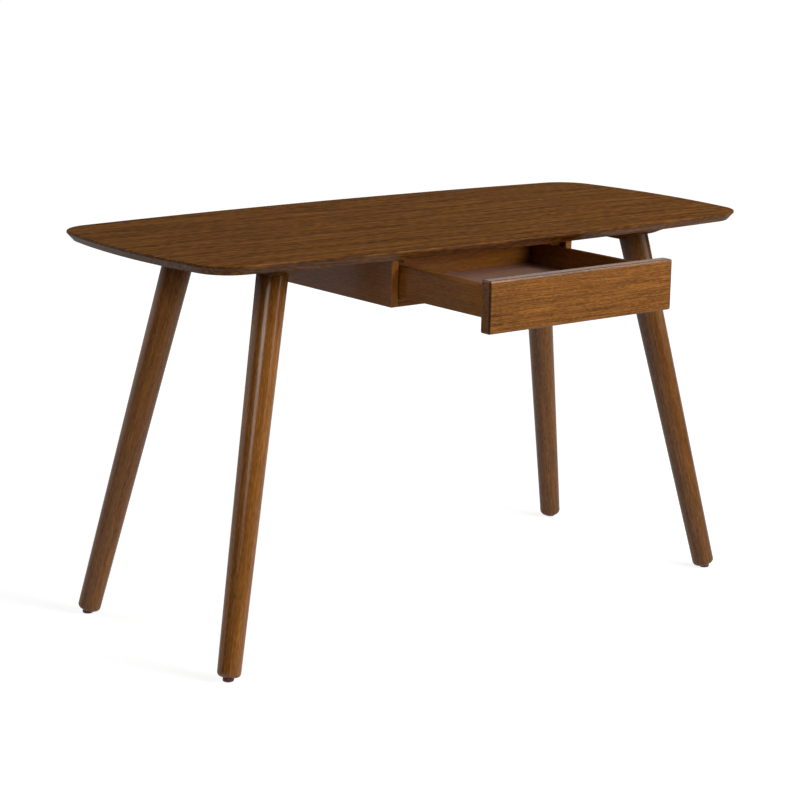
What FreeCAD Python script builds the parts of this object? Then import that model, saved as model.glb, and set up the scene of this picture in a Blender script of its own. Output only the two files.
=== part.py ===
"""Writing desk with splayed turned legs and one drawer in a case hung under the top.

Millimetres, +Z up. +X is to the right of a person sitting at the desk, the drawer opens towards -Y and
the origin is on the floor under the centre of the top. The drawer is drawn standing open.
"""
import FreeCAD
import Part

import math
import os

from FreeCAD import Vector

# Whole desk
desk_width = 1350.0
desk_depth = 600.0
desk_height = 757.0

# Top board: bowed sides, round corners, a narrow upright land and a wide bevel below it
top_thickness = 18.0
top_edge_land = 4.0
top_bevel_inset = 13.0
top_arris = 1.0
top_end_bow = 36.7
top_side_bow = 35.0
top_corner_radius = 80.0

# Legs: how far in from the top's ends and sides the axis stands on the floor and meets the bearer
leg_foot_end_inset = 67.0
leg_foot_side_inset = 58.0
leg_head_end_inset = 225.0
leg_head_side_inset = 150.3
leg_foot_radius = 22.0
leg_head_radius = 29.4
leg_foot_round = 9.0

# Glides under the legs, cut level with the floor, each on a nail
glide_radius = 10.5
glide_height = 7.0
glide_edge_round = 3.0
nail_radius = 1.5
nail_length = 24.0
nail_head_radius = 4.0
nail_head_height = 1.5

# Bearers under the top: depth at the legs' axes, tapered ends that start just outside them
bearer_width = 60.0
bearer_depth = 31.6
bearer_end_depth = 10.0
bearer_taper_start = 12.3
bearer_taper_run = 54.0

# Hanger bolt and threaded insert between a leg and its bearer, stations along the leg's axis
bolt_radius = 5.0
bolt_in_leg = 46.0
bolt_in_bearer = 24.0
bolt_tip = 9.0
insert_radius = 7.5
insert_recess = 8.0
insert_length = 18.0

# Case hung under the top
case_width = 448.0
case_depth = 422.0
case_height = 103.0
case_board = 16.0
case_front_setback = 89.0
board_ease = 0.8

# Kickers in the upper corners of the case, and the rail between them
kicker_width = 25.0
kicker_depth = 25.0
kicker_front_setback = 16.0
rail_setback = 21.0
rail_width = 40.0
rail_thickness = 20.0

# Strips that the drawer's sides run on
strip_width = 12.0
strip_thickness = 1.2
strip_end_room = 8.0

# Drawer front, overlaid on the case's front edges
front_thickness = 22.0
front_drop = 5.5
front_finger_gap = 12.7
front_edge_round = 4.0

# Drawer box
drawer_board = 12.0
drawer_side_room = 3.0
drawer_head_room = 1.5
drawer_rear_room = 54.0
drawer_back_drop = 6.0
drawer_floor = 5.0
drawer_floor_lift = 12.0
groove_depth = 5.0

# Turn button on the drawer's back, which meets the rail
button_width = 16.0
button_thickness = 8.0
button_reach = 26.0
button_below = 10.0
button_catch = 11.0
stop_screw_radius = 2.0
stop_head_radius = 4.0
stop_head_height = 2.5

# How far short of its stop the open drawer stands
drawer_short_of_stop = 36.7

# Wood screws and dowels
screw_radius = 2.2
screw_head_radius = 4.4
screw_head_height = 2.8
screw_tip = 6.0
screw_recess_width = 1.0
screw_recess_span = 4.4
screw_recess_depth = 1.8
case_dowel_radius = 4.0
case_dowel_tail = 20.0
drawer_dowel_radius = 3.0
drawer_dowel_tail = 16.0
dowel_chamfer = 0.6

# Clearances
fastener_clearance = 0.1
groove_clearance = 0.2
running_clearance = 0.3
cut_overrun = 5.0

# Shares of the pieces that they follow
bite_share = 0.65
dowel_bite_share = 0.6
bearer_counterbore_share = 0.25
bearer_screw_shares = (-0.65, -0.25, 0.25, 0.65)
kicker_screw_shares = (0.1, 0.5, 0.9)
kicker_top_screw_shares = (0.2, 0.6, 0.8)
rail_screw_shares = (-0.7, 0.0, 0.7)
bottom_dowel_shares = (0.1, 0.37, 0.63, 0.9)
back_dowel_shares = (0.3, 0.7)
front_dowel_shares = (0.45, 0.8)
floor_screw_shares = (-0.6, 0.0, 0.6)

# Levels and places that follow from the sizes
underside = desk_height - top_thickness
leg_foot_x = desk_width / 2 - leg_foot_end_inset
leg_foot_y = desk_depth / 2 - leg_foot_side_inset
leg_head_x = desk_width / 2 - leg_head_end_inset
leg_head_y = desk_depth / 2 - leg_head_side_inset
bearer_bottom = underside - bearer_depth
bearer_flat = leg_head_y + bearer_taper_start
bearer_slope = (leg_foot_x - leg_head_x) / bearer_bottom
case_bottom_z = underside - case_height
case_floor_z = case_bottom_z + case_board
case_front_y = case_front_setback - desk_depth / 2
case_back_y = case_front_y + case_depth
case_inner_x = case_width / 2 - case_board
case_inner_back_y = case_back_y - case_board
rail_front_y = case_front_y + rail_setback
rail_back_y = rail_front_y + rail_width

drawer_length = case_depth - case_board - drawer_rear_room
drawer_outer_x = case_inner_x - drawer_side_room
drawer_inner_x = drawer_outer_x - drawer_board
drawer_bottom_z = case_floor_z + strip_thickness + running_clearance
drawer_top_z = underside - kicker_depth - drawer_head_room

# Travel: closed with the front just clear of the case, open with the button just clear of the rail
closed_front_y = case_front_y - running_clearance
closed_rear_y = closed_front_y + drawer_length
closed_button_y = closed_rear_y + running_clearance
stopped_button_y = rail_back_y + running_clearance
drawer_travel = closed_button_y - stopped_button_y
drawer_open = drawer_travel - drawer_short_of_stop
front_back_y = closed_front_y - drawer_open
drawer_rear_y = front_back_y + drawer_length
drawer_back_front_y = drawer_rear_y - drawer_board
floor_low_z = drawer_bottom_z + drawer_floor_lift
floor_high_z = floor_low_z + drawer_floor
drawer_back_top_z = drawer_top_z - drawer_back_drop
button_top_z = underside - rail_thickness + button_catch
button_pivot_z = button_top_z - button_width / 2 - button_reach

up = Vector(0, 0, 1)
hands = (("left", -1), ("right", 1))
ends = (("front", -1), ("back", 1))

pieces = {}
groups = {}
holes = {}


def block(x_span, y_span, z_span):
    """Block between a low and a high value on each axis."""
    low = Vector(x_span[0], y_span[0], z_span[0])
    return Part.makeBox(x_span[1] - x_span[0], y_span[1] - y_span[0], z_span[1] - z_span[0], low)


def board(x_span, y_span, z_span):
    """Block with every edge eased."""
    shape = block(x_span, y_span, z_span)
    return shape.makeChamfer(board_ease, shape.Edges)


def span(sign, near, far):
    """Low and high values of a stretch on the left (-1) or right (1) of the centre."""
    return tuple(sorted((sign * near, sign * far)))


def between(low, high, share):
    """Value at a share of the way from low to high."""
    return low + (high - low) * share


def turned(profile, base, direction):
    """Solid turned from (radius, station) points about the axis from base along direction."""
    points = [Vector(radius, 0, station) for radius, station in profile]
    face = Part.Face(Part.makePolygon(points + points[:1]))
    shape = face.revolve(Vector(), up, 360)
    shape.Placement = FreeCAD.Placement(base, FreeCAD.Rotation(up, direction))
    return shape


def fasten(group, solid, hole, *names):
    """Adds a fastener to its group and notes the hole that it needs in each named piece."""
    groups.setdefault(group, []).append(solid)
    for name in names:
        holes.setdefault(name, []).append(hole)


def wood_screw(seat, direction, length):
    """Countersunk screw with a cross recess: its head's face is at seat, its tip along direction."""
    profile = (
        (0, 0),
        (screw_head_radius, 0),
        (screw_radius, screw_head_height),
        (screw_radius, length - screw_tip),
        (0, length),
    )
    half_span = screw_recess_span / 2
    half_width = screw_recess_width / 2
    depth = (-cut_overrun, screw_recess_depth)
    bars = [
        block((-half_span, half_span), (-half_width, half_width), depth),
        block((-half_width, half_width), (-half_span, half_span), depth),
    ]
    for bar in bars:
        bar.Placement = FreeCAD.Placement(seat, FreeCAD.Rotation(up, direction))
    return turned(profile, seat, direction).cut(bars)


def screw_hole(seat, direction, length, sink):
    """Room for a wood screw, opened outwards by sink."""
    head = screw_head_radius + fastener_clearance
    shank = screw_radius + fastener_clearance
    profile = (
        (0, -sink),
        (head, -sink),
        (head, 0),
        (shank, screw_head_height),
        (shank, length + fastener_clearance),
        (0, length + fastener_clearance),
    )
    return turned(profile, seat, direction)


def drive_screw(group, seat, direction, length, names, sink=cut_overrun):
    """Puts a wood screw and its hole through the named pieces."""
    hole = screw_hole(seat, direction, length, sink)
    fasten(group, wood_screw(seat, direction, length), hole, *names)


def drive_dowel(group, joint, direction, radius, before, after, names):
    """Puts a dowel across a joint, with a length before and after it along direction."""
    start = joint - direction * before
    length = before + after
    edge = radius - dowel_chamfer
    profile = (
        (0, 0),
        (edge, 0),
        (radius, dowel_chamfer),
        (radius, length - dowel_chamfer),
        (edge, length),
        (0, length),
    )
    room = radius + fastener_clearance
    bore = (
        (0, -fastener_clearance),
        (room, -fastener_clearance),
        (room, length + fastener_clearance),
        (0, length + fastener_clearance),
    )
    fasten(group, turned(profile, start, direction), turned(bore, start, direction), *names)


def top_outline(inset, level):
    """The top's outline drawn in by inset: four bowed sides joined by tangent corner arcs."""
    half_width = desk_width / 2
    half_depth = desk_depth / 2
    side_radius = (half_width ** 2 + top_side_bow ** 2) / (2 * top_side_bow)
    end_radius = (half_depth ** 2 + top_end_bow ** 2) / (2 * top_end_bow)
    side_centre = Vector(0, half_depth - side_radius, 0)
    end_centre = Vector(half_width - end_radius, 0, 0)

    # The corner's centre is the same distance inside both arcs
    side_reach = side_radius - top_corner_radius
    end_reach = end_radius - top_corner_radius
    line = end_centre - side_centre
    gap = line.Length
    along = (side_reach ** 2 - end_reach ** 2 + gap ** 2) / (2 * gap)
    across = math.sqrt(side_reach ** 2 - along ** 2)
    ahead = line / gap
    square = Vector(ahead.y, -ahead.x, 0)
    corner = side_centre + ahead * along + square * across

    to_side = (corner - side_centre).normalize()
    to_end = (corner - end_centre).normalize()
    on_side = side_centre + to_side * (side_radius - inset)
    on_end = end_centre + to_end * (end_radius - inset)
    on_corner = corner + (to_side + to_end).normalize() * (top_corner_radius - inset)

    def at(point, x_sign, y_sign):
        return Vector(x_sign * point.x, y_sign * point.y, level)

    end_middle = Vector(half_width - inset, 0, 0)
    side_middle = Vector(0, half_depth - inset, 0)
    arcs = []
    for x_sign, y_sign in ((1, 1), (-1, -1)):
        arcs.append((at(on_end, x_sign, -y_sign), at(end_middle, x_sign, y_sign), at(on_end, x_sign, y_sign)))
        arcs.append((at(on_end, x_sign, y_sign), at(on_corner, x_sign, y_sign), at(on_side, x_sign, y_sign)))
        arcs.append((at(on_side, x_sign, y_sign), at(side_middle, x_sign, y_sign), at(on_side, -x_sign, y_sign)))
        arcs.append((at(on_side, -x_sign, y_sign), at(on_corner, -x_sign, y_sign), at(on_end, -x_sign, y_sign)))
    return Part.Wire([Part.Arc(*arc).toShape() for arc in arcs])


def make_top():
    """Top board, from the bevel's lower rim up to the softened upper arris."""
    rims = [
        top_outline(top_bevel_inset, underside),
        top_outline(0, desk_height - top_edge_land),
        top_outline(0, desk_height - top_arris),
        top_outline(top_arris, desk_height),
    ]
    pieces["desk_top"] = Part.makeLoft(rims, True, True)


def bearer_profile():
    """Outline of a bearer in its own length where it is deepest, as (y, z) points."""
    tip = bearer_flat + bearer_taper_run
    end_z = underside - bearer_end_depth
    extra = bearer_slope * bearer_width
    low_z = bearer_bottom - extra
    flat = bearer_flat - extra * bearer_taper_run / (bearer_depth - bearer_end_depth)
    return [(-tip, underside), (-tip, end_z), (-flat, low_z), (flat, low_z), (tip, end_z), (tip, underside)]


def prism(profile, x_low, x_high):
    """Solid between two X values with an outline of (y, z) points."""
    points = [Vector(x_low, y, z) for y, z in profile]
    face = Part.Face(Part.makePolygon(points + points[:1]))
    return face.extrude(Vector(x_high - x_low, 0, 0))


def under_bearer(sign):
    """Room under a bearer's underside, which slopes so as to be square to the legs' lean across the desk."""
    rise = bearer_slope * bearer_width
    inner = leg_head_x - bearer_width
    outer = leg_head_x + bearer_width
    outline = [(inner, 0), (inner, bearer_bottom - rise), (outer, bearer_bottom + rise), (outer, 0)]
    points = [Vector(sign * x, -desk_depth, z) for x, z in outline]
    face = Part.Face(Part.makePolygon(points + points[:1]))
    return face.extrude(Vector(0, 2 * desk_depth, 0))


def make_bearers():
    """Bearers centred over the legs, screwed up into the top from counterbored holes."""
    counterbore = bearer_depth * bearer_counterbore_share
    length = bearer_depth - counterbore + top_thickness * bite_share
    for hand, sign in hands:
        name = f"bearer_{hand}"
        x_low, x_high = span(sign, leg_head_x - bearer_width / 2, leg_head_x + bearer_width / 2)
        pieces[name] = prism(bearer_profile(), x_low, x_high).cut(under_bearer(sign))
        for share in bearer_screw_shares:
            seat = Vector(sign * leg_head_x, share * bearer_flat, bearer_bottom + counterbore)
            sink = counterbore + cut_overrun
            drive_screw("bearer_screws", seat, up, length, (name, "desk_top"), sink)


def head_cutter(sign):
    """Everything above a bearer's underside and the top's, which shapes the legs' heads."""
    profile = bearer_profile()
    roof = desk_height + bearer_depth
    edge = desk_depth
    outline = [(-edge, roof), (-edge, underside)] + profile + [(edge, underside), (edge, roof)]
    return prism(outline, -desk_width, desk_width).cut(under_bearer(sign))


def make_leg(end, y_sign, hand, x_sign, cutter):
    """One leg with its glide, nail, hanger bolt and insert."""
    leg = f"leg_{end}_{hand}"
    glide = f"foot_glide_{end}_{hand}"
    bearer = f"bearer_{hand}"
    foot = Vector(x_sign * leg_foot_x, y_sign * leg_foot_y, 0)
    head = Vector(x_sign * leg_head_x, y_sign * leg_head_y, bearer_bottom)
    axis = (head - foot).normalize()
    sole = foot + axis * glide_height

    # Tapered turning with a rounded lower edge, run past the bearer and then cut to it
    length = (head - sole).Length
    growth = (leg_head_radius - leg_foot_radius) / length
    run = length + bearer_depth
    round_middle = leg_foot_round * math.sqrt(2) / 2
    flat = leg_foot_radius - leg_foot_round
    low_corner = Vector(flat, 0, 0)
    arc_middle = Vector(flat + round_middle, 0, leg_foot_round - round_middle)
    arc_top = Vector(leg_foot_radius, 0, leg_foot_round)
    rim = Vector(leg_foot_radius + growth * run, 0, run)
    crown = Vector(0, 0, run)
    edges = [
        Part.makeLine(Vector(), low_corner),
        Part.Arc(low_corner, arc_middle, arc_top).toShape(),
        Part.makeLine(arc_top, rim),
        Part.makeLine(rim, crown),
        Part.makeLine(crown, Vector()),
    ]
    turning = Part.Face(Part.Wire(edges)).revolve(Vector(), up, 360)
    turning.Placement = FreeCAD.Placement(sole, FreeCAD.Rotation(up, axis))
    pieces[leg] = turning.cut(cutter)

    # Glide: square to the leg above, level with the floor below
    puck = Part.makeCylinder(glide_radius, glide_height + glide_radius, foot - axis * glide_radius, axis)
    reach = glide_radius + glide_height
    floor = block((foot.x - reach, foot.x + reach), (foot.y - reach, foot.y + reach), (-desk_height, 0))
    puck = puck.cut(floor)
    lowest = [edge for edge in puck.Edges if edge.BoundBox.ZMax < fastener_clearance]
    pieces[glide] = puck.makeFillet(glide_edge_round, lowest)

    # Nail: its head is moulded into the glide and its shank is driven into the leg
    seat = glide_height / 2
    shank_base = seat + nail_head_height
    nail = (
        (0, seat),
        (nail_head_radius, seat),
        (nail_head_radius, shank_base),
        (nail_radius, shank_base),
        (nail_radius, shank_base + nail_length - nail_head_radius),
        (0, shank_base + nail_length),
    )
    head_room = nail_head_radius + fastener_clearance
    shank_room = nail_radius + fastener_clearance
    nail_hole = (
        (0, seat - fastener_clearance),
        (head_room, seat - fastener_clearance),
        (head_room, shank_base + fastener_clearance),
        (shank_room, shank_base + fastener_clearance),
        (shank_room, shank_base + nail_length + fastener_clearance),
        (0, shank_base + nail_length + fastener_clearance),
    )
    fasten("glide_nails", turned(nail, foot, axis), turned(nail_hole, foot, axis), glide, leg)

    # Hanger bolt in the leg, with its upper half in an insert in the bearer
    bolt = (
        (0, -bolt_in_leg),
        (bolt_radius, bolt_tip - bolt_in_leg),
        (bolt_radius, bolt_in_bearer - fastener_clearance),
        (0, bolt_in_bearer),
    )
    bolt_room = bolt_radius + fastener_clearance
    bolt_hole = (
        (0, -bolt_in_leg - fastener_clearance),
        (bolt_room, -bolt_in_leg - fastener_clearance),
        (bolt_room, bearer_depth),
        (0, bearer_depth),
    )
    insert_top = insert_recess + insert_length
    insert = (
        (bolt_room, insert_recess),
        (insert_radius, insert_recess),
        (insert_radius, insert_top),
        (bolt_room, insert_top),
    )
    insert_room = insert_radius + fastener_clearance
    insert_hole = (
        (0, -bearer_depth),
        (insert_room, -bearer_depth),
        (insert_room, insert_top + fastener_clearance),
        (0, insert_top + fastener_clearance),
    )
    fasten("leg_bolts", turned(bolt, head, axis), turned(bolt_hole, head, axis), leg)
    fasten("leg_inserts", turned(insert, head, axis), turned(insert_hole, head, axis), bearer)


def make_case():
    """Hung case: side boards, bottom and back joined by dowels, kickers, rail and slide strips."""
    y_span = (case_front_y, case_back_y)
    inner = (-case_inner_x, case_inner_x)
    pieces["case_bottom"] = board(inner, y_span, (case_bottom_z, case_floor_z))
    pieces["case_back"] = board(inner, (case_inner_back_y, case_back_y), (case_floor_z, underside))
    rail_x = case_inner_x - kicker_width
    pieces["front_rail"] = board((-rail_x, rail_x), (rail_front_y, rail_back_y),
                                 (underside - rail_thickness, underside))

    kicker_front_y = case_front_y + kicker_front_setback
    bite = case_board * dowel_bite_share
    bottom_mid_z = (case_bottom_z + case_floor_z) / 2
    back_mid_y = (case_inner_back_y + case_back_y) / 2
    strip_mid_x = (drawer_inner_x + drawer_outer_x) / 2
    for hand, sign in hands:
        side = f"case_side_{hand}"
        kicker = f"kicker_{hand}"
        outwards = Vector(sign, 0, 0)
        pieces[side] = board(span(sign, case_inner_x, case_width / 2), y_span, (case_bottom_z, underside))
        pieces[kicker] = board(span(sign, case_inner_x - kicker_width, case_inner_x),
                               (kicker_front_y, case_inner_back_y), (underside - kicker_depth, underside))
        pieces[f"slide_strip_{hand}"] = block(
            span(sign, strip_mid_x - strip_width / 2, strip_mid_x + strip_width / 2),
            (case_front_y + strip_end_room, case_inner_back_y - strip_end_room),
            (case_floor_z, case_floor_z + strip_thickness))

        for share in bottom_dowel_shares:
            joint = Vector(sign * case_inner_x, between(case_front_y, case_back_y, share), bottom_mid_z)
            drive_dowel("case_dowels", joint, outwards, case_dowel_radius, case_dowel_tail, bite,
                        (side, "case_bottom"))
        for share in back_dowel_shares:
            joint = Vector(sign * case_inner_x, back_mid_y, between(case_floor_z, underside, share))
            drive_dowel("case_dowels", joint, outwards, case_dowel_radius, case_dowel_tail, bite,
                        (side, "case_back"))

        kicker_mid_x = sign * (case_inner_x - kicker_width / 2)
        for share in kicker_screw_shares:
            seat = Vector(sign * (case_inner_x - kicker_width),
                          between(kicker_front_y, case_inner_back_y, share), underside - kicker_depth / 2)
            drive_screw("kicker_screws", seat, outwards, kicker_width + case_board * bite_share, (kicker, side))
        for share in kicker_top_screw_shares:
            seat = Vector(kicker_mid_x, between(kicker_front_y, case_inner_back_y, share),
                          underside - kicker_depth)
            drive_screw("case_top_screws", seat, up, kicker_depth + top_thickness * bite_share,
                        (kicker, "desk_top"))

    rail_mid_y = (rail_front_y + rail_back_y) / 2
    for share in rail_screw_shares:
        seat = Vector(share * rail_x, rail_mid_y, underside - rail_thickness)
        drive_screw("case_top_screws", seat, up, rail_thickness + top_thickness * bite_share,
                    ("front_rail", "desk_top"))


def make_drawer_front():
    """Overlay front as wide as the case, rounded on its face and corners, grooved for the floor."""
    half_width = case_width / 2
    face_y = front_back_y - front_thickness
    front = block((-half_width, half_width), (face_y, front_back_y),
                  (case_bottom_z - front_drop, underside - front_finger_gap))
    rounded = [edge for edge in front.Edges if edge.BoundBox.YMin < front_back_y - front_thickness / 2]
    front = front.makeFillet(front_edge_round, rounded)
    groove = block((-drawer_inner_x - groove_depth, drawer_inner_x + groove_depth),
                   (front_back_y - groove_depth, front_back_y + cut_overrun),
                   (floor_low_z, floor_high_z + groove_clearance))
    pieces["drawer_front"] = front.cut(groove)


def make_drawer_box():
    """Sides, back and floor of the drawer, with their dowels and screws."""
    backwards = Vector(0, 1, 0)
    z_span = (drawer_bottom_z, drawer_top_z)
    for hand, sign in hands:
        side = f"drawer_side_{hand}"
        outwards = Vector(sign, 0, 0)
        shape = board(span(sign, drawer_inner_x, drawer_outer_x), (front_back_y, drawer_rear_y), z_span)
        groove = block(span(sign, drawer_inner_x - cut_overrun, drawer_inner_x + groove_depth),
                       (front_back_y - cut_overrun, drawer_rear_y + cut_overrun),
                       (floor_low_z, floor_high_z + groove_clearance))
        pieces[side] = shape.cut(groove)

        side_mid_x = sign * (drawer_inner_x + drawer_outer_x) / 2
        for share in front_dowel_shares:
            joint = Vector(side_mid_x, front_back_y, between(drawer_bottom_z, drawer_top_z, share))
            drive_dowel("drawer_dowels", joint, backwards, drawer_dowel_radius,
                        front_thickness * dowel_bite_share, drawer_dowel_tail, (side, "drawer_front"))
        for share in back_dowel_shares:
            joint = Vector(sign * drawer_inner_x, drawer_rear_y - drawer_board / 2,
                           between(floor_high_z, drawer_back_top_z, share))
            drive_dowel("drawer_dowels", joint, outwards, drawer_dowel_radius, drawer_dowel_tail,
                        drawer_board * dowel_bite_share, (side, "drawer_back"))

    inner = (-drawer_inner_x, drawer_inner_x)
    pieces["drawer_back"] = board(inner, (drawer_back_front_y, drawer_rear_y), (floor_high_z, drawer_back_top_z))
    floor_x = drawer_inner_x + groove_depth - groove_clearance
    floor_front_y = front_back_y - groove_depth + groove_clearance
    pieces["drawer_bottom"] = block((-floor_x, floor_x), (floor_front_y, drawer_rear_y),
                                    (floor_low_z, floor_high_z))
    screw_y = drawer_rear_y - drawer_board / 2
    for share in floor_screw_shares:
        seat = Vector(share * drawer_inner_x, screw_y, floor_low_z)
        drive_screw("drawer_bottom_screws", seat, up, drawer_floor + drawer_board * bite_share,
                    ("drawer_bottom", "drawer_back"))


def make_stop():
    """Turn button on the drawer's back, with the screw that it turns on."""
    radius = button_width / 2
    front_y = drawer_rear_y + running_clearance
    rear_y = front_y + button_thickness
    low = button_pivot_z - button_below
    high = button_pivot_z + button_reach
    outline = Part.Wire([
        Part.Arc(Vector(radius, front_y, high), Vector(0, front_y, high + radius),
                 Vector(-radius, front_y, high)).toShape(),
        Part.makeLine(Vector(-radius, front_y, high), Vector(-radius, front_y, low)),
        Part.Arc(Vector(-radius, front_y, low), Vector(0, front_y, low - radius),
                 Vector(radius, front_y, low)).toShape(),
        Part.makeLine(Vector(radius, front_y, low), Vector(radius, front_y, high)),
    ])
    button = Part.Face(outline).extrude(Vector(0, button_thickness, 0))

    # The screw's head stands just clear of the button, and its shank turns freely in it
    pivot = Vector(0, rear_y + running_clearance, button_pivot_z)
    forwards = Vector(0, -1, 0)
    shank = button_thickness + 2 * running_clearance + drawer_board * bite_share
    screw = (
        (0, -stop_head_height),
        (stop_head_radius, -stop_head_height),
        (stop_head_radius, 0),
        (stop_screw_radius, 0),
        (stop_screw_radius, shank - stop_screw_radius),
        (0, shank),
    )
    room = stop_screw_radius + fastener_clearance
    bore = ((0, 0), (room, 0), (room, shank + fastener_clearance), (0, shank + fastener_clearance))
    pieces["stop_button"] = button
    fasten("stop_screw", turned(screw, pivot, forwards), turned(bore, pivot, forwards),
           "stop_button", "drawer_back")


make_top()
make_bearers()
for hand_name, hand_sign in hands:
    leg_cutter = head_cutter(hand_sign)
    for end_name, end_sign in ends:
        make_leg(end_name, end_sign, hand_name, hand_sign, leg_cutter)
make_case()
make_drawer_front()
make_drawer_box()
make_stop()

os.makedirs("parts", exist_ok=True)
for piece_name, piece in pieces.items():
    if piece_name in holes:
        piece = piece.cut(holes[piece_name])
    groups[piece_name] = piece.Solids
for node, solids in sorted(groups.items()):
    shape = solids[0] if len(solids) == 1 else Part.makeCompound(solids)
    shape.exportStep(f"parts/{node}.step")
    volume = sum(solid.Volume for solid in solids)
    print(f"{node}: {len(solids)} solid(s), {volume:.0f} mm3, valid {shape.isValid()}")
print(f"nodes: {len(groups)}")
print(f"drawer slide from rest: {-drawer_open:.2f} to {drawer_short_of_stop:.2f} mm")
print(f"stop button pivot: y {drawer_rear_y:.2f}, z {button_pivot_z:.2f} mm")
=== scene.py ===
# %% [markdown]
# # A writing desk with one hung drawer
# The desk is a thin bowed board on four turned, splayed legs, with a shallow drawer hung under its middle.
# All its pieces were drawn in CAD at their real sizes, so this lesson doesn't model them again. It loads
# them as a fixed frame and spends its effort on what CAD leaves out: stain, grain, lacquer, light and
# camera.

# %% Load the desk's frame
import math

import bpy
import numpy as np
from mathutils import Matrix, Vector


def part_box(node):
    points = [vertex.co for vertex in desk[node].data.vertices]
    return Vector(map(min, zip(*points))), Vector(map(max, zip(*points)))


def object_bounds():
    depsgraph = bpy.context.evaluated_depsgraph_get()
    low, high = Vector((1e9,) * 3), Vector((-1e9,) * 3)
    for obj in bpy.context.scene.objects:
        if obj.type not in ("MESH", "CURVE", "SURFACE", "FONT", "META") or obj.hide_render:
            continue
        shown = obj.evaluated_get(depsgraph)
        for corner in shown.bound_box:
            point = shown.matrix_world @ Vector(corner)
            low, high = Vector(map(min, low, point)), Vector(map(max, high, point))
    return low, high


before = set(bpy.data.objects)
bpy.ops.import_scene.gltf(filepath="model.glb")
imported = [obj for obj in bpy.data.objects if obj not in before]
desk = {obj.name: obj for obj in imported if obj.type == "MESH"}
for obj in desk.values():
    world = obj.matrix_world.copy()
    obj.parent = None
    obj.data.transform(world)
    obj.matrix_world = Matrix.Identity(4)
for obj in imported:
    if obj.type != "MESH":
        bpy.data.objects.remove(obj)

cad_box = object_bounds()
desk_size = cad_box[1] - cad_box[0]
print("pieces of the desk:", len(desk))
print("size in metres:", [round(side, 3) for side in desk_size])

# %% [markdown]
# ## The camera
# The photograph was taken from the left, a little above the top, with a long lens, so the desk's edges
# stay almost parallel. A camera can be placed by hand, or worked out from where it looks, how far it is
# turned and raised, and how far away it stands. The second way keeps every number readable. The small roll
# is the tilt of the photographer's camera.

# %% Stand the camera where the photographer stood
camera_turn = -38.771
camera_rise = 12.901
camera_roll = math.radians(1.039)
camera_distance = 4.643842
camera_target = Vector((-0.01423, 0.019666, 0.390984))
lens_mm = 104.602
quarter_turn = 90


def direction(turn, rise):
    """The way to a place, by the degrees it lies to the right of straight ahead and above level."""
    around = math.radians(turn)
    above = math.radians(rise)
    level = math.cos(above)
    return Vector((math.sin(around) * level, -math.cos(around) * level, math.sin(above)))


towards_camera = direction(camera_turn, camera_rise)
level_right = direction(camera_turn + quarter_turn, 0)
level_up = towards_camera.cross(level_right)
right = math.cos(camera_roll) * level_right + math.sin(camera_roll) * level_up
up = math.cos(camera_roll) * level_up - math.sin(camera_roll) * level_right

camera = bpy.data.objects.new("camera", bpy.data.cameras.new("camera"))
camera.data.lens = lens_mm
turned = Matrix((right, up, towards_camera)).transposed().to_4x4()
camera.matrix_world = Matrix.Translation(camera_target + camera_distance * towards_camera) @ turned
bpy.context.scene.collection.objects.link(camera)
bpy.context.scene.camera = camera
bpy.context.scene.view_settings.view_transform = "Standard"
print("camera stands at", [round(c, 3) for c in camera.matrix_world.translation])

# %% [markdown]
# ## Helpers for node trees
# Every finish below is a tree of nodes. A node is added, its settings are made and its sockets are filled,
# each with a plain value or with a link from another node. Written out, that takes several lines for every
# node, so two helpers do it. Two more do a calculation on numbers or vectors, and the last one is the ramp
# that turns a value into a mask.

# %% Helpers that add nodes
def fill(tree, node, sockets):
    """Gives each socket its plain value, or a link where the value is another node's socket."""
    for name, value in sockets.items():
        if isinstance(value, bpy.types.NodeSocket):
            tree.links.new(value, node.inputs[name])
        else:
            node.inputs[name].default_value = value


def add(tree, kind, settings=None, sockets=None):
    """One new node, with its settings made and its sockets filled."""
    node = tree.nodes.new(kind)
    for name, value in (settings or {}).items():
        setattr(node, name, value)
    fill(tree, node, sockets or {})
    return node


def compute(tree, operation, *values, clamp=False):
    """The result of one calculation on numbers."""
    settings = {"operation": operation, "use_clamp": clamp}
    return add(tree, "ShaderNodeMath", settings, dict(enumerate(values))).outputs["Value"]


def compute_vector(tree, operation, *values):
    """The results of one calculation on vectors, which are called Vector and Value."""
    return add(tree, "ShaderNodeVectorMath", {"operation": operation}, dict(enumerate(values))).outputs


def ramp(tree, value, start, end, first=0.0, last=1.0):
    """Goes from first to last while the value goes from start to end, and stays level beyond them."""
    limits = {"From Min": start, "From Max": end, "To Min": first, "To Max": last}
    return add(tree, "ShaderNodeMapRange", sockets={"Value": value, **limits}).outputs["Result"]


print("helpers:", ", ".join(helper.__name__ for helper in (fill, add, compute, compute_vector, ramp)))

# %% [markdown]
# ## The studio
# The photograph has a plain white ground. A floor that is simply lit would come out grey, and more light
# to whiten it would burn out the desk. So the floor glows a little, but only where the camera looks
# straight at it. Light Path tells the material which kind of ray has arrived. The desk still gets the
# plain light of the lamps, and its shadow still falls on the floor.

# %% A large floor that is only lit
floor_reach = 60.0
floor_drop = 0.0004
floor_grey = 0.68


def grey(share):
    """A colour without hue."""
    return (share, share, share, 1)


half_floor = floor_reach / 2
corners = [(x * half_floor, y * half_floor, -floor_drop) for x, y in ((-1, -1), (1, -1), (1, 1), (-1, 1))]
floor_mesh = bpy.data.meshes.new("studio_floor")
floor_mesh.from_pydata(corners, [], [(0, 1, 2, 3)])
floor = bpy.data.objects.new("studio_floor", floor_mesh)
bpy.context.scene.collection.objects.link(floor)

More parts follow.
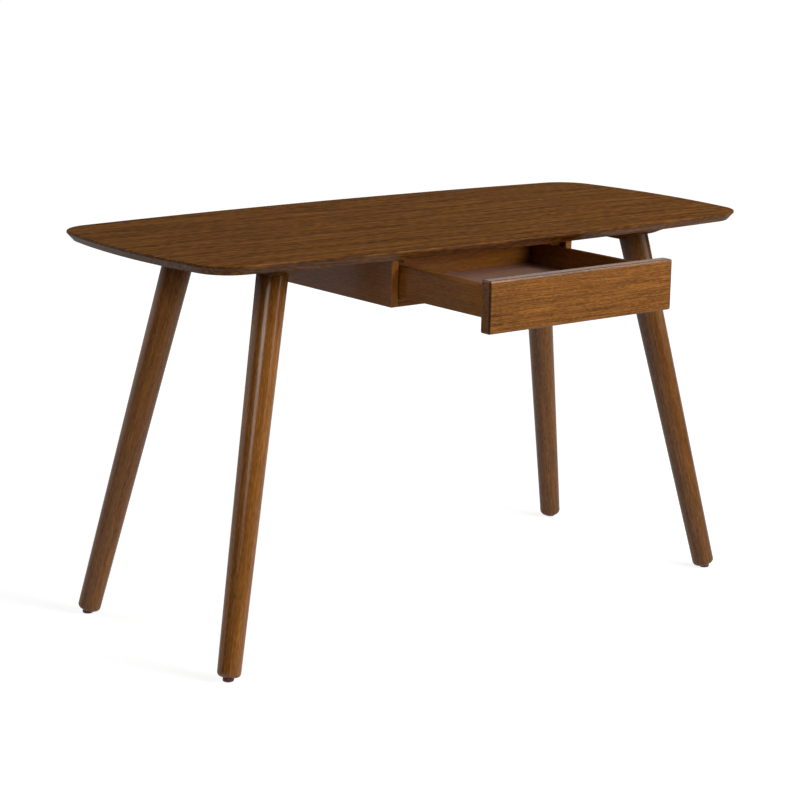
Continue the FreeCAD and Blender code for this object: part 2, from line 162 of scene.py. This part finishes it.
paper = bpy.data.materials.new("studio_paper")
paper.use_nodes = True
floor_mesh.materials.append(paper)
tree = paper.node_tree
tree.nodes.clear()
lit = add(tree, "ShaderNodeBsdfDiffuse", sockets={"Color": grey(floor_grey)}).outputs["BSDF"]
print("floor reaches", floor_reach, "m")

# %% [markdown]
# For the camera the paper is two things added up: a darker paper that takes the shadows, and a glow that
# makes it white. The glow grows with the distance from the desk, so the shadows fade out and the horizon
# vanishes.

# %% What the camera sees of the floor
seen_grey = 0.45
near_glow = 0.84
near_distance = 0.6
far_distance = 3.5

place = add(tree, "ShaderNodeTexCoord").outputs["Object"]
distance = compute_vector(tree, "LENGTH", place)["Value"]
seen = add(tree, "ShaderNodeBsdfDiffuse", sockets={"Color": grey(seen_grey)}).outputs["BSDF"]
glow_strength = ramp(tree, distance, near_distance, far_distance, near_glow)
glow = add(tree, "ShaderNodeEmission", sockets={"Strength": glow_strength}).outputs["Emission"]
glowing = add(tree, "ShaderNodeAddShader", sockets={0: seen, 1: glow}).outputs["Shader"]
print("glow starts at", near_glow, "and is full at", far_distance, "m")

# %% [markdown]
# A mirror ray sees something else: the paper in front of the desk lies in the dark of the studio, and the
# paper behind it is bright. That is why the legs have pale rims and the drawer's front has none on its
# face. To a camera below the floor the paper is clear, so that the underside of the desk can be looked at.

# %% What the lacquer mirrors of the floor, and the clear underside
dark_until = -2.0
dark_glow = 0.10
bright_from = -0.5
bright_glow = 0.52


def choose(tree, mask, first, second):
    """The first shader where the mask is 0, the second where it is 1."""
    return add(tree, "ShaderNodeMixShader", sockets={0: mask, 1: first, 2: second}).outputs["Shader"]


depth = add(tree, "ShaderNodeSeparateXYZ", sockets={0: place}).outputs["Y"]
mirror_glow = ramp(tree, depth, dark_until, bright_from, dark_glow, bright_glow)
mirrored = add(tree, "ShaderNodeEmission", sockets={"Strength": mirror_glow}).outputs["Emission"]
clear = add(tree, "ShaderNodeBsdfTransparent").outputs["BSDF"]
ray = add(tree, "ShaderNodeLightPath").outputs
back_side = add(tree, "ShaderNodeNewGeometry").outputs["Backfacing"]
from_below = compute(tree, "MULTIPLY", ray["Is Camera Ray"], back_side)
surface = choose(tree, ray["Is Glossy Ray"], lit, mirrored)
surface = choose(tree, ray["Is Camera Ray"], surface, glowing)
surface = choose(tree, from_below, surface, clear)
add(tree, "ShaderNodeOutputMaterial", sockets={"Surface": surface})
print("paper in mirrors, front to back:", dark_glow, "to", bright_glow)

# %% [markdown]
# The room behind the floor is the world. It is white to the camera and lights the desk hardly at all. In a
# mirror, the paper hangs up behind the desk and is brightest near the floor, which is what makes the upper
# edges of the drawer so pale. A direction's upward and backward parts say where on that paper it ends.

# %% A white room that lights the desk only a little
room_light = 0.04
camera_white = 1.0
low_part = 0.20
low_glow = 0.80
high_part = 0.40
high_glow = 0.10
paper_side = 0.2
paper_middle = 0.6

world = bpy.data.worlds.new("studio_room")
bpy.context.scene.world = world
world.use_nodes = True
tree = world.node_tree
tree.nodes.clear()


def backdrop(tree, strength):
    """A white surrounding of the given strength."""
    sockets = {"Color": grey(1), "Strength": strength}
    return add(tree, "ShaderNodeBackground", sockets=sockets).outputs["Background"]


towards = add(tree, "ShaderNodeTexCoord").outputs["Generated"]
parts = add(tree, "ShaderNodeSeparateXYZ", sockets={0: towards}).outputs
rising = ramp(tree, parts["Z"], low_part, high_part, low_glow, high_glow)
hung_behind = ramp(tree, parts["Y"], paper_side, paper_middle)
hung_paper = backdrop(tree, compute(tree, "MULTIPLY", rising, hung_behind))
ray = add(tree, "ShaderNodeLightPath").outputs
surface = choose(tree, ray["Is Glossy Ray"], backdrop(tree, room_light), hung_paper)
surface = choose(tree, ray["Is Camera Ray"], surface, backdrop(tree, camera_white))
add(tree, "ShaderNodeOutputWorld", sockets={"Surface": surface})
print("room light:", room_light)

# %% [markdown]
# ## The lamps
# The drawer's front is the brightest face in the photograph, the top has about half its light, and the
# side of the case is in shade. So the main light comes from in front, out of two soft boxes: a low one
# shines into the open drawer and under the top, and a higher one reaches the top and the heads of the
# legs. A third box stands high on the right. On the left there is a dim box, and a fill further round
# lifts the shaded side of the case. Two white cards are there for the lacquer alone, which mirrors them as
# a pale stripe down each side of a leg. The last box, behind the desk, is for someone who walks round it.

# %% Hang the soft boxes
lamp_aim = Vector((0.0, -0.2, 0.7))


def soft_box(name, turn, rise, distance, width, height, watts, on_wood=True, on_lacquer=True):
    """A rectangular area lamp that shines at the desk, placed by the angles at which the desk sees it."""
    lamp = bpy.data.lights.new(name, "AREA")
    lamp.shape = "RECTANGLE"
    lamp.size = width
    lamp.size_y = height
    lamp.energy = watts
    towards = direction(turn, rise)
    lamp_object = bpy.data.objects.new(name, lamp)
    lamp_object.location = lamp_aim + distance * towards
    lamp_object.rotation_euler = towards.to_track_quat("Z", "Y").to_euler()
    lamp_object.visible_camera = False
    lamp_object.visible_diffuse = on_wood
    lamp_object.visible_glossy = on_lacquer
    bpy.context.scene.collection.objects.link(lamp_object)
    print(name, watts, "W at", [round(c, 2) for c in lamp_object.location])


soft_box("front_low", turn=18, rise=13, distance=3.5, width=1.4, height=0.7, watts=38, on_lacquer=False)
soft_box("front_high", turn=28, rise=25, distance=3.5, width=1.4, height=0.8, watts=49)
soft_box("right_box", turn=58, rise=44, distance=3.2, width=1.2, height=1.2, watts=26)
soft_box("right_card", turn=42, rise=5, distance=3.2, width=2.8, height=0.7, watts=23, on_wood=False)
soft_box("left_box", turn=-60, rise=17, distance=3.2, width=1.15, height=0.7, watts=8)
soft_box("left_card", turn=-60, rise=13.5, distance=3.2, width=1.15, height=1.1, watts=11, on_wood=False)
soft_box("left_fill", turn=-112, rise=18, distance=3.2, width=1.2, height=1.2, watts=6.5, on_lacquer=False)
soft_box("back_box", turn=205, rise=28, distance=4.0, width=2.0, height=1.4, watts=25)

# %% [markdown]
# ## Groups
# Several finishes share the same effects, such as grain and soft edges. A node group is the node editor's
# function: it is built once with named sockets, and each material that uses it fills in its own values.
# Two helpers start and end a group, and two more serve inside it: noise that is stretched along the grain,
# and a blend of two colours.

# %% Helpers for groups
VALUE = "NodeSocketFloat"
COLOUR = "NodeSocketColor"
VECTOR = "NodeSocketVector"
noise_roughness = 0.55


def start_group(name, inputs, outputs):
    """An empty shader group with named sockets, and the values that come into it."""
    group = bpy.data.node_groups.new(name, "ShaderNodeTree")
    for label, (kind, value) in inputs.items():
        socket = group.interface.new_socket(label, in_out="INPUT", socket_type=kind)
        socket.default_value = value
    for label, kind in outputs.items():
        group.interface.new_socket(label, in_out="OUTPUT", socket_type=kind)
    return group, add(group, "NodeGroupInput").outputs


def end_group(group, results):
    """Links the results to the sockets that the group puts out."""
    add(group, "NodeGroupOutput", sockets=results)
    print("group", group.name, "has", len(group.nodes), "nodes")


def noise_layer(tree, place, along, across, detail, low, high):
    """Noise by its waves per metre along and across, with what lies between low and high spread to 0..1."""
    stretched = compute_vector(tree, "MULTIPLY", place, (along, across, across))["Vector"]
    noise = add(tree, "ShaderNodeTexNoise", sockets={
        "Vector": stretched, "Scale": 1.0, "Detail": detail, "Roughness": noise_roughness,
    })
    return ramp(tree, noise.outputs["Fac"], low, high)


def blend(tree, mask, first, second, how="MIX"):
    """The first colour where the mask is 0, and the second mixed into it where it is 1."""
    settings = {"data_type": "RGBA", "blend_type": how}
    return add(tree, "ShaderNodeMix", settings, {"Factor": mask, 6: first, 7: second}).outputs[2]


print("kinds of sockets:", VALUE, COLOUR, VECTOR)

# %% [markdown]
# ## Grain
# The wood is stained brown all over. Four layers make its figure: wide soft bands from the growth of the
# tree, narrow streaks in them, long fine lines, and short flecks. Dark dashes come on top, where stain
# stayed in the pores. A picture of wood could be wrapped round each piece, but it would show seams. Noise
# fills space and runs on over the edges. The group works on a place whose first axis runs along the grain,
# so each material only has to turn its own place that way. A slow noise of its own makes the lines wander
# a little.

# %% Group: stained grain, its layers
wander_waves = 2.4
wander_detail = 2.0
wander_reach = 0.010
half_way = 0.5

stained_grain, ins = start_group(
    "stained_grain",
    {
        "Place": (VECTOR, (0, 0, 0)),
        "Light tone": (COLOUR, grey(0.5)),
        "Dark tone": (COLOUR, grey(0.2)),
        "Pore tone": (COLOUR, grey(0.1)),
        "Figure": (VALUE, 1.0),
        "Dashes": (VALUE, 1.0),
    },
    {"Color": COLOUR, "Height": VALUE},
)
wander = add(stained_grain, "ShaderNodeTexNoise", sockets={
    "Vector": ins["Place"], "Scale": wander_waves, "Detail": wander_detail,
}).outputs["Color"]
middle = (half_way, half_way, half_way)
sideways = (0, wander_reach, wander_reach)
centred = compute_vector(stained_grain, "SUBTRACT", wander, middle)["Vector"]
wavy_place = compute_vector(stained_grain, "MULTIPLY_ADD", centred, sideways, ins["Place"])["Vector"]

bands = noise_layer(stained_grain, wavy_place, along=1.5, across=60, detail=3.0, low=0.35, high=0.65)
streaks = noise_layer(stained_grain, wavy_place, along=4, across=210, detail=1.0, low=0.35, high=0.65)
lines = noise_layer(stained_grain, wavy_place, along=8, across=760, detail=0.0, low=0.26, high=0.60)
flecks = noise_layer(stained_grain, wavy_place, along=90, across=1100, detail=0.0, low=0.26, high=0.60)
pores = noise_layer(stained_grain, wavy_place, along=55, across=900, detail=0.0, low=0.58, high=0.68)
print("nodes for the layers:", len(stained_grain.nodes))

# %% [markdown]
# The layers are added up by their shares. Their usual sum is taken away before the strength of the figure
# is applied, and half is put back, so a stronger figure makes the wood more lively and not darker on
# average. The pores are hollows as well as dark marks, so the group also puts out a height.

# %% Group: stained grain, its colour and height
band_share = 0.07
streak_share = 0.20
line_share = 0.36
fleck_share = 0.37
usual_sum = 0.64

figure = compute(stained_grain, "MULTIPLY", bands, band_share)
for layer, share in ((streaks, streak_share), (lines, line_share), (flecks, fleck_share)):
    part = compute(stained_grain, "MULTIPLY", layer, share)
    figure = compute(stained_grain, "ADD", figure, part, clamp=True)
off_usual = compute(stained_grain, "SUBTRACT", figure, usual_sum)
figure = compute(stained_grain, "MULTIPLY_ADD", off_usual, ins["Figure"], half_way, clamp=True)
dashes = compute(stained_grain, "MULTIPLY", pores, ins["Dashes"])
body = blend(stained_grain, figure, ins["Light tone"], ins["Dark tone"])
end_group(stained_grain, {
    "Color": blend(stained_grain, dashes, body, ins["Pore tone"]),
    "Height": compute(stained_grain, "SUBTRACT", 1.0, dashes),
})

# %% [markdown]
# ## Edges and ends
# A saw leaves an edge sharp, and a sanding block takes it off a little, so that it catches the light. The
# Bevel node does that to the shading alone: it gives the normal that a rounded edge would have. Where that
# normal and the surface's own differ, there is an edge, and stain gathers there.

# %% Group: soft edge
sanded_reach = 0.0015
bevel_samples = 6
flat_agreement = 0.995
edge_agreement = 0.80

soft_edge, ins = start_group(
    "soft_edge", {"Reach": (VALUE, sanded_reach)}, {"Mask": VALUE, "Normal": VECTOR},
)
sanded = add(soft_edge, "ShaderNodeBevel", {"samples": bevel_samples}, {"Radius": ins["Reach"]})
own_normal = add(soft_edge, "ShaderNodeNewGeometry").outputs["Normal"]
agreement = compute_vector(soft_edge, "DOT_PRODUCT", sanded.outputs["Normal"], own_normal)["Value"]
end_group(soft_edge, {
    "Mask": ramp(soft_edge, agreement, flat_agreement, edge_agreement),
    "Normal": sanded.outputs["Normal"],
})

# %% [markdown]
# End grain drinks more stain than the long side of a board. Its mask asks how far the surface faces along
# the grain, forwards or backwards, so it finds the ends of every board without a list of faces.

# %% Group: end grain
side_part = 0.55
end_part = 0.95

end_grain, ins = start_group("end_grain", {"Along": (VECTOR, (1, 0, 0))}, {"Mask": VALUE})
own_normal = add(end_grain, "ShaderNodeTexCoord").outputs["Normal"]
along_part = compute_vector(end_grain, "DOT_PRODUCT", own_normal, ins["Along"])["Value"]
either_way = compute(end_grain, "ABSOLUTE", along_part)
end_group(end_grain, {"Mask": ramp(end_grain, either_way, side_part, end_part)})

# %% [markdown]
# ## Sheen
# A finished board isn't equally smooth everywhere: hands and cloths leave broad soft patches, and dust
# makes fine ones. The group turns two noises into a roughness around a middle value.

# %% Group: lacquer sheen
patch_share = 0.65
dust_share = 0.35

lacquer_sheen, ins = start_group(
    "lacquer_sheen",
    {"Place": (VECTOR, (0, 0, 0)), "Middle": (VALUE, 0.35), "Spread": (VALUE, 0.10)},
    {"Roughness": VALUE},
)
patches = noise_layer(lacquer_sheen, ins["Place"], along=5, across=9, detail=2.0, low=0.3, high=0.7)
dust = noise_layer(lacquer_sheen, ins["Place"], along=300, across=300, detail=2.0, low=0.3, high=0.7)
patches = compute(lacquer_sheen, "MULTIPLY", patches, patch_share)
dust = compute(lacquer_sheen, "MULTIPLY", dust, dust_share)
sheen = compute(lacquer_sheen, "ADD", patches, dust, clamp=True)
off_middle = compute(lacquer_sheen, "SUBTRACT", sheen, half_way)
roughness = compute(lacquer_sheen, "MULTIPLY_ADD", off_middle, ins["Spread"], ins["Middle"], clamp=True)
end_group(lacquer_sheen, {"Roughness": roughness})

# %% [markdown]
# ## A board's finish
# All the stained pieces share one recipe: turn the place so that it runs along the grain, look up the
# grain, darken ends and edges, and put it under clear lacquer. What differs from piece to piece is the
# direction of the grain, the tones and the strength of the dashes. First come the stains, each with a
# light, a dark and a pore tone, and the small tools of the recipe.

# %% Stains, and tools that place a group and darken a colour
walnut = ((0.405, 0.154, 0.0270), (0.070, 0.023, 0.0044), (0.060, 0.019, 0.0036))
plywood = ((0.720, 0.440, 0.340), (0.540, 0.300, 0.215), (0.340, 0.180, 0.125))
beech = ((0.620, 0.420, 0.240), (0.500, 0.320, 0.170), (0.350, 0.200, 0.100))
# The dark tint stands for soaked stain, and in several masks below for painted shade.
stain_and_shade_tint = (0.12, 0.09, 0.08, 1)


def new_material(name):
    """A new material with its tree and its shader."""
    material = bpy.data.materials.new(name)
    material.use_nodes = True
    return material, material.node_tree, material.node_tree.nodes["Principled BSDF"]


def place_group(tree, group, values):
    """What a group puts out in a material's tree, with the values of this material."""
    return add(tree, "ShaderNodeGroup", {"node_tree": group}, values).outputs


def darkened(tree, colour, mask, share):
    """The colour, a share of the way to a dark tint where the mask is 1, for soaked stain and for painted
    shade.
    """
    return blend(tree, compute(tree, "MULTIPLY", mask, share), colour, stain_and_shade_tint, how="MULTIPLY")


print("stains:", len((walnut, plywood, beech)))

# %% [markdown]
# Lacquer lies over the wood as a clear film. A second, shiny mesh around each piece could stand for it,
# but the shader has a coat for just this. The base under it has no shine of its own, and its roughness is
# there for viewers that know no coat. The bump of the pores is on the base only, because the lacquer fills
# them, and the soft edges are on both.

# %% A function for stained, lacquered wood
pore_depth = 0.00012
pore_strength = 0.5
wood_roughness = 0.45
lacquer_blur = 0.2
sanded_share = 0.3
grain_axis = Vector((1, 0, 0))


def stained_wood(name, along, stain=walnut, tone=1.0, figure=0.9, dashes=0.25, across=1.0, length=1.0,
                 ends=0.3, coat=0.9, shift=0.0):
    """Stained wood under lacquer, with its grain along one direction of the desk."""
    material, tree, shader = new_material(name)
    along = Vector(along).normalized()
    light, dark, pore = [(*(tone * part for part in colour), 1.0) for colour in stain]
    place = add(tree, "ShaderNodeTexCoord").outputs["Object"]
    turned = add(tree, "ShaderNodeMapping", sockets={
        "Vector": place,
        "Rotation": along.rotation_difference(grain_axis).to_euler(),
        "Location": (shift, shift, shift),
    })
    stretch = (length, across, across)
    grain = place_group(tree, stained_grain, {
        "Place": compute_vector(tree, "MULTIPLY", turned.outputs["Vector"], stretch)["Vector"],
        "Light tone": light, "Dark tone": dark, "Pore tone": pore, "Figure": figure, "Dashes": dashes,
    })
    edges = place_group(tree, soft_edge, {"Reach": sanded_reach})
    end_faces = place_group(tree, end_grain, {"Along": along})
    sheen = place_group(tree, lacquer_sheen, {"Place": place, "Middle": wood_roughness})
    colour = darkened(tree, grain["Color"], end_faces["Mask"], ends)
    pores = add(tree, "ShaderNodeBump", sockets={
        "Height": grain["Height"], "Normal": edges["Normal"],
        "Strength": pore_strength, "Distance": pore_depth,
    })
    film = add(tree, "ShaderNodeBevel", {"samples": bevel_samples}, {"Radius": sanded_reach})
    fill(tree, shader, {
        "Base Color": darkened(tree, colour, edges["Mask"], sanded_share),
        "Roughness": sheen["Roughness"],
        "Normal": pores.outputs["Normal"],
        "Specular IOR Level": 0.0,
        "Coat Weight": coat,
        "Coat Roughness": lacquer_blur,
        "Coat Normal": film.outputs["Normal"],
    })
    return material


print("bump of the pores:", pore_depth, "m, reach of the sanded edges:", sanded_reach, "m")

# %% [markdown]
# A finished material goes on its pieces in place of the plain one that they came with. Some pieces then
# need more: a part of the board that is darker than the rest, which in several places below is painted
# shade. Such a part can nearly always be told by the way it faces, so a mask from the normal does what
# painting by hand would do, and still fits if the piece changes.

# %% Tools that put a finish on pieces and darken a part of them
along_width = (1, 0, 0)
along_depth = (0, 1, 0)


def finish(material, *names):
    """Puts one material on CAD nodes in place of their plain one."""
    for name in names:
        desk[name].material_slots[0].material = material
    print(material.name, "on", ", ".join(names))


def facing(tree):
    """How far the surface faces right, back and up, as X, Y and Z."""
    own_normal = add(tree, "ShaderNodeTexCoord").outputs["Normal"]
    return add(tree, "ShaderNodeSeparateXYZ", sockets={0: own_normal}).outputs


def darken_base(material, mask, share):
    """Darkens the colour that already goes into a material's shader."""
    tree = material.node_tree
    shader = tree.nodes["Principled BSDF"]
    colour = shader.inputs["Base Color"].links[0].from_socket
    fill(tree, shader, {"Base Color": darkened(tree, colour, mask, share)})


def vary_coat(material, mask, first, last):
    """Lets the lacquer go from the first weight to the last one as the mask goes from 0 to 1."""
    tree = material.node_tree
    fill(tree, tree.nodes["Principled BSDF"], {"Coat Weight": ramp(tree, mask, 0.0, 1.0, first, last)})


print("grain runs along", along_width, "or", along_depth)

# %% [markdown]
# ## The top
# The top is one veneered board with its grain from end to end. Its edge is bevelled underneath. The edge is
# darkened as painted shade, because the bevel faces down, and it gets more lacquer than the veneer. The
# edge's mask takes what faces neither straight up nor straight down.

# %% Top board with painted shade on its edge
top_coat = 0.03
edge_coat = 0.42
painted_edge_shade = 0.50
not_up = (0.6, 0.4)
not_down = (-0.98, -0.90)

top_wood = stained_wood(
    "top_wood", along_width, tone=0.92, figure=1.15, dashes=0.1, across=0.22, length=0.6, coat=top_coat,
)
tree = top_wood.node_tree
upward = facing(tree)["Z"]
edge = compute(tree, "MULTIPLY", ramp(tree, upward, *not_up), ramp(tree, upward, *not_down))
# Painted shade on the edge and bevel of the top.
darken_base(top_wood, edge, painted_edge_shade)
vary_coat(top_wood, edge, top_coat, edge_coat)
finish(top_wood, "desk_top")

# %% [markdown]
# ## The drawer's front
# The front is the showpiece: the densest grain, turned the same way as the top's. Its rounded upright
# corners are darkened almost black. A corner is where the normal has both a sideways and a forward part, so
# their product is its mask.

# %% Drawer front with dark upright corners
corner_share = 0.8
corner_limits = (0.06, 0.30)

front_wood = stained_wood(
    "front_wood", along_width, tone=0.96, figure=1.1, dashes=0.1, across=0.8, length=1.2, shift=0.37,
)
tree = front_wood.node_tree
parts = facing(tree)
both_ways = compute(tree, "ABSOLUTE", compute(tree, "MULTIPLY", parts["X"], parts["Y"]))
darken_base(front_wood, ramp(tree, both_ways, *corner_limits), corner_share)
finish(front_wood, "drawer_front")

# %% [markdown]
# ## Case and drawer box
# The sides of the case and of the drawer run front to back, as boards do when they are cut the long way.
# The case's front edges are lit from in front, while its broad faces are in shade, and that light and shade
# are painted in. The whole board gets the bright tone of the edges first, and all that doesn't face forward
# is darkened.

# %% Sides of the case with painted light on the front edge
painted_side_shade = 0.38
not_forward = (-0.8, -0.4)

case_side_wood = stained_wood(
    "case_side_wood", along_depth, tone=1.8, figure=0.3, across=0.5, ends=0.0, coat=0.8, shift=0.81,
)
tree = case_side_wood.node_tree
# Painted light and shade: the forward faces keep the bright tone, and the rest is darkened.
darken_base(case_side_wood, ramp(tree, facing(tree)["Y"], *not_forward), painted_side_shade)
finish(case_side_wood, "case_side_left", "case_side_right")

# %% [markdown]
# The drawer's right side is made darker than the left one. That is painted shade, because the right side's
# inner face is turned away from the lamps. Its floor is thin plywood with a paler, pinkish stain. They need
# nothing beyond the shared recipe, so each is one call with its own numbers. The shift moves a board to
# another place in the noise, so that no two kinds of board have the same figure.

# %% Drawer box
# The right side's lower tone is painted shade.
drawer_side_tones_with_painted_shade = {"left": 1.3, "right": 0.85}
for hand, tone in drawer_side_tones_with_painted_shade.items():
    drawer_side_wood = stained_wood(
        "drawer_side_wood_" + hand, along_depth, tone=tone, figure=0.4, across=0.5, coat=0.4, shift=1.9,
    )
    finish(drawer_side_wood, "drawer_side_" + hand)
drawer_back_wood = stained_wood(
    "drawer_back_wood", along_width, tone=1.45, figure=0.4, across=0.5, coat=0.6, shift=2.3,
)
finish(drawer_back_wood, "drawer_back")
floor_ply = stained_wood("floor_ply", along_width, plywood, figure=0.7, coat=0.5, shift=2.9)
finish(floor_ply, "drawer_bottom")

# %% [markdown]
# The case's bottom and back, the bearers that carry the legs, and the battens and the rail inside the case
# are in shade or hidden most of the time. They get the plain stain, the bearers a darker one with little
# lacquer.

# %% Cross boards of the case, bearers, battens and rail
case_cross_wood = stained_wood("case_cross_wood", along_width, shift=1.3)
finish(case_cross_wood, "case_bottom", "case_back")
bearer_wood = stained_wood("bearer_wood", along_depth, tone=0.5, coat=0.1, shift=3.4)
finish(bearer_wood, "bearer_left", "bearer_right")
batten_wood = stained_wood("batten_wood", along_depth, tone=0.95, coat=0.4, shift=4.2)
finish(batten_wood, "kicker_left", "kicker_right")
rail_wood = stained_wood("rail_wood", along_width, tone=0.95, coat=0.4, shift=4.6)
finish(rail_wood, "front_rail", "stop_button")

# %% [markdown]
# ## The legs
# A turned leg is cut from a straight blank, so its grain runs along its own leaning axis and not straight
# up. The axis could be copied from the drawing. Reading it from the mesh is safer: it is the direction in
# which the leg's points spread the most, which a singular value decomposition gives. Each leg has its own
# tone, and the tones are painted light and shade: they put into the colour how brightly the lamps light
# each leg.

# %% Four legs, each with grain along its own axis
# Painted light and shade: each leg's tone makes up for how brightly the lamps light it.
leg_tones_with_painted_light = {"front_left": 1.28, "front_right": 0.78, "back_left": 1.05, "back_right": 0.85}
leg_coat = 1.0
first_leg_shift = 5.0
next_leg_shift = 0.7


def long_axis(node):
    """The direction in which a piece is longest, from the spread of its points."""
    points = np.array([vertex.co for vertex in desk[node].data.vertices])
    spreads = np.linalg.svd(points - points.mean(axis=0), full_matrices=False)[2]
    return Vector(spreads[0])


leg_woods = {}
for number, (corner, tone) in enumerate(leg_tones_with_painted_light.items()):
    axis = long_axis("leg_" + corner)
    print("leg", corner, "leans", round(math.degrees(math.acos(abs(axis.z))), 2), "degrees")
    shift = first_leg_shift + next_leg_shift * number
    leg_woods[corner] = stained_wood(
        "leg_wood_" + corner, axis, tone=tone, figure=0.65, across=0.5, coat=leg_coat, shift=shift,
    )
    finish(leg_woods[corner], "leg_" + corner)

# %% [markdown]
# The heads of the legs sit in the corner under the top, in the top's shadow. That shade is painted into
# their colour, and the lacquer is made thin there so that they shine less. A mask that rises with the
# height of the place does both.

# %% Painted shade on the heads of the legs, and thin lacquer there
head_reach = 0.11
head_coat = 0.25
painted_head_shade = 0.75

for corner, leg_wood in leg_woods.items():
    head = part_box("leg_" + corner)[1][2]
    tree = leg_wood.node_tree
    place = add(tree, "ShaderNodeTexCoord").outputs["Object"]
    height = add(tree, "ShaderNodeSeparateXYZ", sockets={0: place}).outputs["Z"]
    head_shade_mask = ramp(tree, height, head - head_reach, head)
    # Painted shade: the heads are darkened because the top shadows them.
    darken_base(leg_wood, head_shade_mask, painted_head_shade)
    vary_coat(leg_wood, head_shade_mask, leg_coat, head_coat)
    print("head of", corner, "leg at", round(head, 4), "m")

# %% [markdown]
# ## Small parts
# Screws and bolts are plain steel, the threaded inserts are brass, the glides under the legs are moulded
# plastic, and the drawer runs on strips of nylon. Metal has fine marks from the tool that cut it, plastic
# has the faint grain of its mould. Both are one noise that shifts colour, roughness and bump, so they
# share a group.

# %% Group: fine surface marks
mark_detail = 3.0
smooth_limit = 0.3
rough_limit = 0.7

fine_marks, ins = start_group(
    "fine_marks",
    {
        "Place": (VECTOR, (0, 0, 0)),
        "Marks per metre": (VALUE, 900.0),
        "Tone": (COLOUR, grey(0.5)),
        "Worn tone": (COLOUR, grey(0.3)),
        "Smooth": (VALUE, 0.25),
        "Rough": (VALUE, 0.45),
    },
    {"Color": COLOUR, "Roughness": VALUE, "Height": VALUE},
)
marks = add(fine_marks, "ShaderNodeTexNoise", sockets={
    "Vector": ins["Place"], "Scale": ins["Marks per metre"], "Detail": mark_detail,
}).outputs["Fac"]
end_group(fine_marks, {
    "Color": blend(fine_marks, marks, ins["Tone"], ins["Worn tone"]),
    "Roughness": ramp(fine_marks, marks, smooth_limit, rough_limit, ins["Smooth"], ins["Rough"]),
    "Height": marks,
})

# %% [markdown]
# Metal and plastic differ in one socket of the shader, Metallic, and in their numbers. So one function
# makes both, with a tone, a worn tone and a range of roughness for each.

# %% A function for metal and plastic
mark_strength = 0.4


def fine_surface(name, tone, worn, metallic, smooth, rough, per_metre, mark_depth):
    """Metal or plastic with small marks."""
    material, tree, shader = new_material(name)
    marks = place_group(tree, fine_marks, {
        "Place": add(tree, "ShaderNodeTexCoord").outputs["Object"],
        "Marks per metre": per_metre,
        "Tone": (*tone, 1), "Worn tone": (*worn, 1), "Smooth": smooth, "Rough": rough,
    })
    bump = add(tree, "ShaderNodeBump", sockets={
        "Height": marks["Height"], "Strength": mark_strength, "Distance": mark_depth,
    })
    fill(tree, shader, {
        "Base Color": marks["Color"],
        "Roughness": marks["Roughness"],
        "Metallic": metallic,
        "Normal": bump.outputs["Normal"],
    })
    return material


print("strength of the marks:", mark_strength)

# %% [markdown]
# Only the glides show in the photograph, reddish brown under the feet. The rest of the hardware is hidden
# inside the desk or under it, so it gets the usual colours of such parts.

# %% Steel, brass, plastic and nylon
screw_steel = fine_surface(
    "screw_steel", tone=(0.62, 0.61, 0.58), worn=(0.40, 0.39, 0.36), metallic=1.0,
    smooth=0.22, rough=0.42, per_metre=1200.0, mark_depth=0.00002,
)
insert_brass = fine_surface(
    "insert_brass", tone=(0.72, 0.50, 0.20), worn=(0.45, 0.30, 0.11), metallic=1.0,
    smooth=0.25, rough=0.45, per_metre=1200.0, mark_depth=0.00002,
)
glide_plastic = fine_surface(
    "glide_plastic", tone=(0.190, 0.050, 0.058), worn=(0.120, 0.030, 0.034), metallic=0.0,
    smooth=0.30, rough=0.48, per_metre=700.0, mark_depth=0.00004,
)
strip_nylon = fine_surface(
    "strip_nylon", tone=(0.62, 0.58, 0.50), worn=(0.50, 0.46, 0.39), metallic=0.0,
    smooth=0.35, rough=0.50, per_metre=500.0, mark_depth=0.00003,
)
finish(
    screw_steel, "glide_nails", "leg_bolts", "bearer_screws", "kicker_screws", "case_top_screws",
    "drawer_bottom_screws", "stop_screw",
)
finish(insert_brass, "leg_inserts")
finish(glide_plastic, *("foot_glide_" + corner for corner in leg_tones_with_painted_light))
finish(strip_nylon, "slide_strip_left", "slide_strip_right")

# %% [markdown]
# The dowels are bare beech, without stain or lacquer. Wood without a coat is the same recipe with the coat
# set to nothing, so they need no function of their own.

# %% Bare beech for the dowels
dowel_wood = stained_wood("dowel_wood", along_depth, beech, coat=0.0, shift=7.7)
finish(dowel_wood, "case_dowels", "drawer_dowels")
